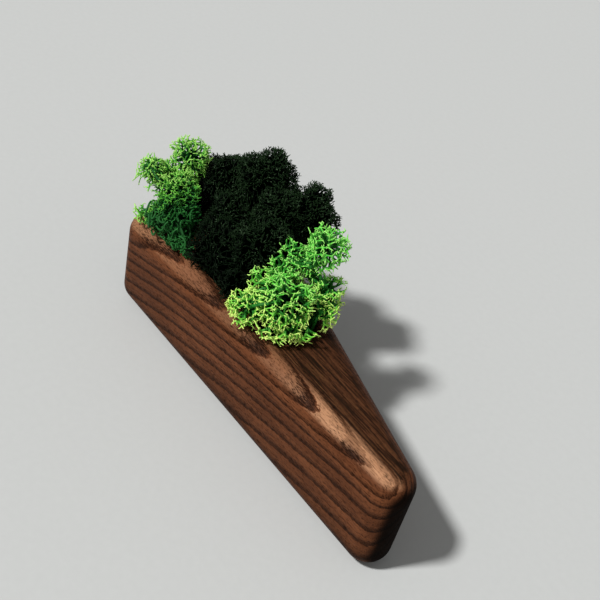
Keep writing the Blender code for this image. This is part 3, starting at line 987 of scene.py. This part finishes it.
# %% The wood's finish
def oiled_wood():
    """The block's material."""
    wood = Finish("oiled_wood")
    place = wood.place()
    x, y, z = wood.split(place)
    inward = (y - FRONT_Y).most(0.0)
    phase = growth_rings(wood, place, x, z, inward).fraction()
    fibres = wood.noise(place, (0.14, 3.0, 3.0), 3.0, 0.65)
    dashes = wood.noise(place, (0.60, 4.0, 4.0), 2.0, 0.55)
    cloud = wood.noise(place, (0.03, 0.14, 0.14))
    streaks = wood.noise(place, (0.050, 1.2, 1.2), 3.0, 0.6)
    topside = wood.step(z, 38.6, 39.8) * wood.step(inward, 5.0, 9.0)
    edge = wood.step(inward, 9.2, 5.4) * wood.step(z - x * 0.020, 36.0, 37.6)
    # Over the rounded front edge the paler wood carries a painted highlight that varies along the edge,
    # and a strip of painted highlight runs on to the tip.
    pale_edge_and_highlight = wood.step(x, 22.0, 50.0, 0.20, 0.86) + wood.step(x, -30.0, -60.0) * 0.30
    pale_strip_and_highlight = edge * wood.step(x, 46.0, 60.0) * wood.step(z, 38.3, 39.4)
    early = wood.step(phase, 0.0, edge * 0.12 + 0.05) * wood.step(phase, 0.54, 0.10)
    early = early * (1.0 - topside * 0.45 - pale_strip_and_highlight * 0.8)
    late = wood.step(phase, 0.52, 0.56) * wood.step(phase, 0.74, 0.58)
    tongue = (edge - pale_strip_and_highlight) * wood.step(phase, 0.0, 0.12) * wood.step(phase, 0.66, 0.26)
    pore = wood.step(dashes, 0.56, 0.66)
    specks = wood.step(dashes, 0.36, 0.60)
    dark = early * (0.62 + 0.48 * specks) + tongue * specks * 0.7 + late * specks * 0.45 + pore * 0.40
    # The ends are painted nearly black: partly darker end grain, partly painted shade.
    across = wood.split(wood.node("ShaderNodeNewGeometry", {}, {}, out="Normal"))[0]
    end_grain_and_shade = wood.step(across.most(0.0 - across), 0.60, 0.88)
    body = wood.mix(fibres, *WOOD_TONES)
    body = wood.mix(wood.step(cloud, 0.35, 0.65) * 0.5, body, CLOUD_TONE)
    body = wood.mix(topside * 0.50, body, TOP_TONE)
    brown = topside * wood.step(streaks, 0.48, 0.64) * wood.step(inward, 26.0, 8.0)
    body = wood.mix(brown, body, TOP_BROWN)
    # The wood is darker towards the bottom.
    body = wood.mix(wood.step(z, 13.0, 6.0) * 0.5, body, LOW_TONE)
    tan_and_highlight = wood.mix(fibres, *TAN_AND_HIGHLIGHT_TONES)
    colour = wood.mix(edge * pale_edge_and_highlight * wood.step(phase, 0.12, 0.50).most(pale_strip_and_highlight * 0.62), body, tan_and_highlight)
    colour = wood.mix(dark.least(1.0) * 0.92, colour, PORE_TONE)
    colour = wood.mix(topside * wood.step(streaks, 0.54, 0.42) * 0.85, colour, TOP_STREAK)
    colour = wood.mix(end_grain_and_shade * 0.96, colour, END_GRAIN_AND_SHADE_TONE)
    relief = fibres * 0.05 - pore * 0.10 - early * 0.08
    rough = 0.46 + pore * 0.3 + (fibres - 0.5) * 0.2 + end_grain_and_shade * 0.35
    wood.set(Base_Color=colour, Roughness=rough, Specular_IOR_Level=0.03, Normal=wood.bump(relief, 1.0))
    return wood.material


wood_finish = oiled_wood()
block.data.materials.append(wood_finish)
print("wood nodes:", len(wood_finish.node_tree.nodes))

# %% [markdown]
# ## Moss
# Preserved reindeer moss is dyed, and light and shade are painted over the dye. The tips are
# painted palest, as the light that comes through them because they are thin, and the stems deep in
# the bunch are painted dark, as shade. The attribute made with the mesh blends the two, and a slow
# noise changes the tint from tuft to tuft. Three things differ between bunches: the light heads on
# the right turn to a cooler green higher up, the left bunch is dim low down and bright above and at
# the corner, and the dark moss is painted darker near the rim, as shade, but has a few greyish
# painted glints scattered over it.

# %% Dyes, with painted light and shade
TONE_PLACES = (0.0, 0.40, 0.75, 0.98)
DYE_AND_PAINTED_LIGHT = {
    "light_moss": ((0.004, 0.045, 0.006), (0.022, 0.21, 0.022), (0.21, 0.65, 0.058), (0.78, 1.0, 0.24)),
    "green_moss": ((0.004, 0.040, 0.007), (0.017, 0.145, 0.024), (0.15, 0.54, 0.048), (0.44, 0.80, 0.165)),
    "dark_moss": ((0.00016, 0.00064, 0.00016), (0.0008, 0.0036, 0.0008), (0.0024, 0.0100, 0.0023),
                  (0.0140, 0.0350, 0.0110)),
}
COOL_SHARE, COOL_PALEST = 0.6, (0.38, 0.86, 0.18)
# Grey-green painted glints on a few tips of the dark moss.
PAINTED_GLINT = (0.0900, 0.1450, 0.0780)
# The middles are painted shade, nearly black.
SHADED_MIDDLES = {"light_moss": (0.001, 0.010, 0.003), "green_moss": (0.0048, 0.0480, 0.0080),
           "dark_moss": (0.00016, 0.00064, 0.00016)}
print("green of the palest tips:", {name: tones[-1][1] for name, tones in DYE_AND_PAINTED_LIGHT.items()})

# %% The moss's finish
TUFT_SHIFT = 12.0


def moss(name, gloss):
    """A moss material, from its deepest tone to its palest tips."""
    made = Finish(name)
    place = made.place()
    x, _, z = made.split(place)
    grown = made.node("ShaderNodeAttribute", {"attribute_name": "grown"}, {}, out="Fac")
    tuft = made.noise(place, 0.35)
    grain = made.noise(place, 2.5)
    uneven = (tuft - 0.5) * TUFT_SHIFT
    shade = grown + (tuft - 0.5) * 0.35
    # The dark moss is painted darker low down, near the rim, as shade.
    if name == "dark_moss":
        shade = shade * made.step(z, 46.0, 64.0, 0.72, 1.0)
    if name == "green_moss":
        high = made.step(z + uneven - (x + 56.0) * 0.6, 44.0, 61.0)
        at_corner = made.step(x, -53.5, -56.5)
        shade = shade * (high.most(at_corner) * 0.60 + 0.40)
    deep, stem, tip = DYE_AND_PAINTED_LIGHT[name][:3]
    # The ramp paints the tips pale, partly as light that comes through them, and the deep stems dark,
    # partly as shade.
    colour = made.ramp(shade, TONE_PLACES, DYE_AND_PAINTED_LIGHT[name])
    if name == "light_moss":
        cool_tip = (COOL_SHARE * tip[0], *tip[1:])
        cool = made.ramp(shade, TONE_PLACES, (deep, stem, cool_tip, COOL_PALEST))
        colour = made.mix(made.step(z + uneven, 48.0, 62.0), colour, cool)
    colour = made.mix(made.step(grain, 0.40, 0.80) * 0.30, colour, stem)
    if name == "dark_moss":
        # A few tips of the dark moss are painted grey-green as glints.
        painted_glints = made.step(made.noise(place, 1.1), 0.58, 0.68) * made.step(shade, 0.55, 0.95)
        colour = made.mix(painted_glints * made.step(tuft, 0.40, 0.60), colour, PAINTED_GLINT)
    made.set(Base_Color=colour, Roughness=0.55 + (grain - 0.5) * 0.2, Specular_IOR_Level=gloss,
             Normal=made.bump(grain, 0.04))
    return made.material


def shaded_middle(name, colour):
    """The finish of the dark middle, painted shade: matte, nearly black, with the grain of packed stems.
    """
    made = Finish(name)
    grain = made.noise(made.place(), 1.2, 3.0)
    made.set(Base_Color=made.mix(grain, [0.4 * part for part in colour], colour), Roughness=0.95,
             Specular_IOR_Level=0.0, Normal=made.bump(grain, 0.6))
    return made.material


GLOSS = {"light_moss": 0.20, "green_moss": 0.20, "dark_moss": 0.08}
mosses = {name: (moss(name, GLOSS[name]), shaded_middle(f"{name}_middle", SHADED_MIDDLES[name])) for name in DYE_AND_PAINTED_LIGHT}
for name, pieces in bunches.items():
    for made in pieces:
        for finish in mosses[SLOTS[name]]:
            made.data.materials.append(finish)
print("moss nodes:", {name: len(finishes[0].node_tree.nodes) for name, finishes in mosses.items()})

# %% [markdown]
# ## Floor, light and camera
# The garden stands on a plain pale floor. One soft light comes from the front left, about fifty
# degrees up, so the shadow falls behind the block to the right, and a pale sky fills the shadows.
# The camera looks down on the block by forty degrees, and is rolled by fifteen, so that the block
# runs steeply through the picture.

# %% Floor
FLOOR_REACH = 3.0
FLOOR_TONES = (0.50, 0.508, 0.496), (0.532, 0.54, 0.528)
floor_mesh = bpy.data.meshes.new("floor")
floor_corners = [(x * FLOOR_REACH, y * FLOOR_REACH, 0) for x, y in ((-1, -1), (1, -1), (1, 1), (-1, 1))]
floor_mesh.from_pydata(floor_corners, [], [(0, 1, 2, 3)])
floor = add_object("floor", floor_mesh)
paper = Finish("pale_floor")
speck = paper.noise(paper.place(), 0.4, 3.0)
paper.set(Base_Color=paper.mix(speck, *FLOOR_TONES), Roughness=0.7)
floor_mesh.materials.append(paper.material)
print("floor across, in m:", 2 * FLOOR_REACH)

# %% Light
LIGHT_FROM = Vector((-0.240, -0.556, 0.796))
LIGHT_STRENGTH, LIGHT_WIDTH = 3.6, math.radians(6.5)
SKY_STRENGTH = 0.276
sun = bpy.data.lights.new("key", "SUN")
sun.energy = LIGHT_STRENGTH
sun.angle = LIGHT_WIDTH
key = add_object("key", sun)
key.rotation_mode = "QUATERNION"
key.rotation_quaternion = LIGHT_FROM.to_track_quat("Z", "Y")
sky = bpy.data.worlds.new("sky")
sky.use_nodes = True
background = sky.node_tree.nodes["Background"]
background.inputs["Color"].default_value = (1.0, 1.0, 1.0, 1.0)
background.inputs["Strength"].default_value = SKY_STRENGTH
bpy.context.scene.world = sky
bpy.context.scene.view_settings.view_transform = "Standard"
print("light, degrees up:", round(math.degrees(math.asin(LIGHT_FROM.normalized().z)), 1))

# %% Camera
AIM, DISTANCE = Vector((0.00253, -0.00320, BLOCK_TOP)), 0.33232
HEADING, DOWN, ROLL = (math.radians(angle) for angle in (132.077, 39.981, 14.869))
lens = bpy.data.cameras.new("camera")
lens.lens = 57.0
lens.sensor_width = 36.0
lens.clip_start = 0.01
camera = add_object("camera", lens)
view = Vector((math.cos(HEADING) * math.cos(DOWN), math.sin(HEADING) * math.cos(DOWN), -math.sin(DOWN)))
turned = view.to_track_quat("-Z", "Y") @ Quaternion((0, 0, 1), ROLL)
camera.matrix_world = Matrix.Translation(AIM - DISTANCE * view) @ turned.to_matrix().to_4x4()
bpy.context.scene.camera = camera
print("camera:", [round(v, 3) for v in camera.matrix_world.translation])

# %% [markdown]
# ## Sizes
# The finer moss should be as large as the plain part.
